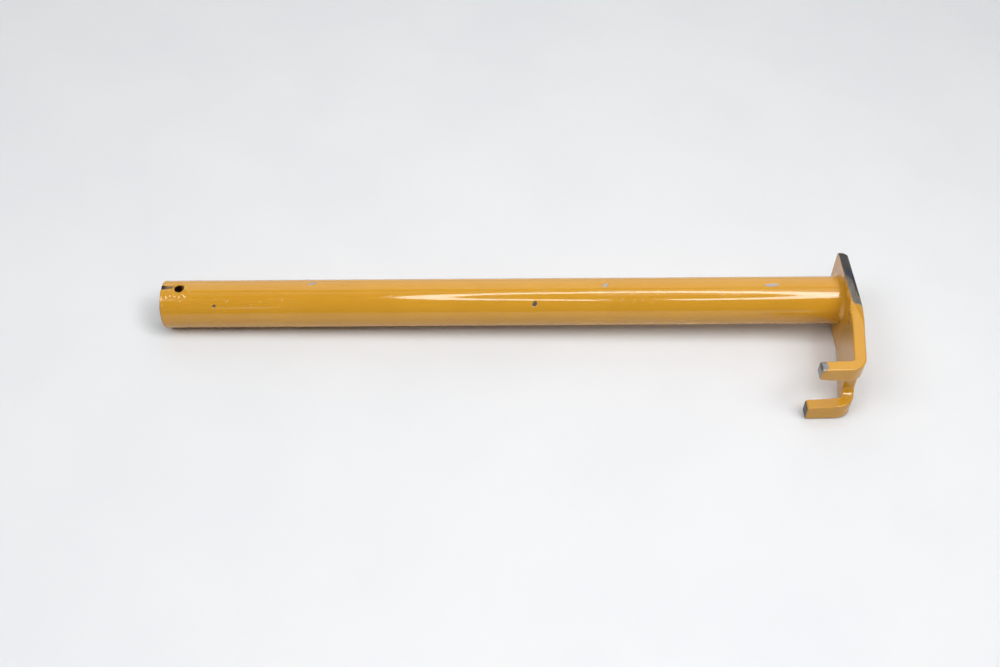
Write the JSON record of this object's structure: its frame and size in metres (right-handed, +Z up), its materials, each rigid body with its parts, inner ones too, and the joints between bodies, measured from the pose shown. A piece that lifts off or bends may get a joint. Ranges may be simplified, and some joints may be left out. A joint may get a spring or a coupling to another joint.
{
  "type": "forked hook bar",
  "caption": "Round steel hand bar with a cross hole at its plain end and a welded hook plate whose end is slotted into two prongs turned back along the bar.",
  "frame": {"origin": "centre of the tube's plain end", "axes": "+X along the tube towards the hook plate, the prongs turn back on the -Y side, +Z up"},
  "size_m": [0.2905, 0.0659, 0.0318],
  "materials": {
    "amber_paint": "thick gloss amber-yellow paint over steel, chipped to grey metal, with a heat-blued ground bevel"
  },
  "bodies": {
    "root": {"tube": "amber_paint", "hook_plate": "amber_paint", "weld_bead": "amber_paint"}
  },
  "joints": []
}
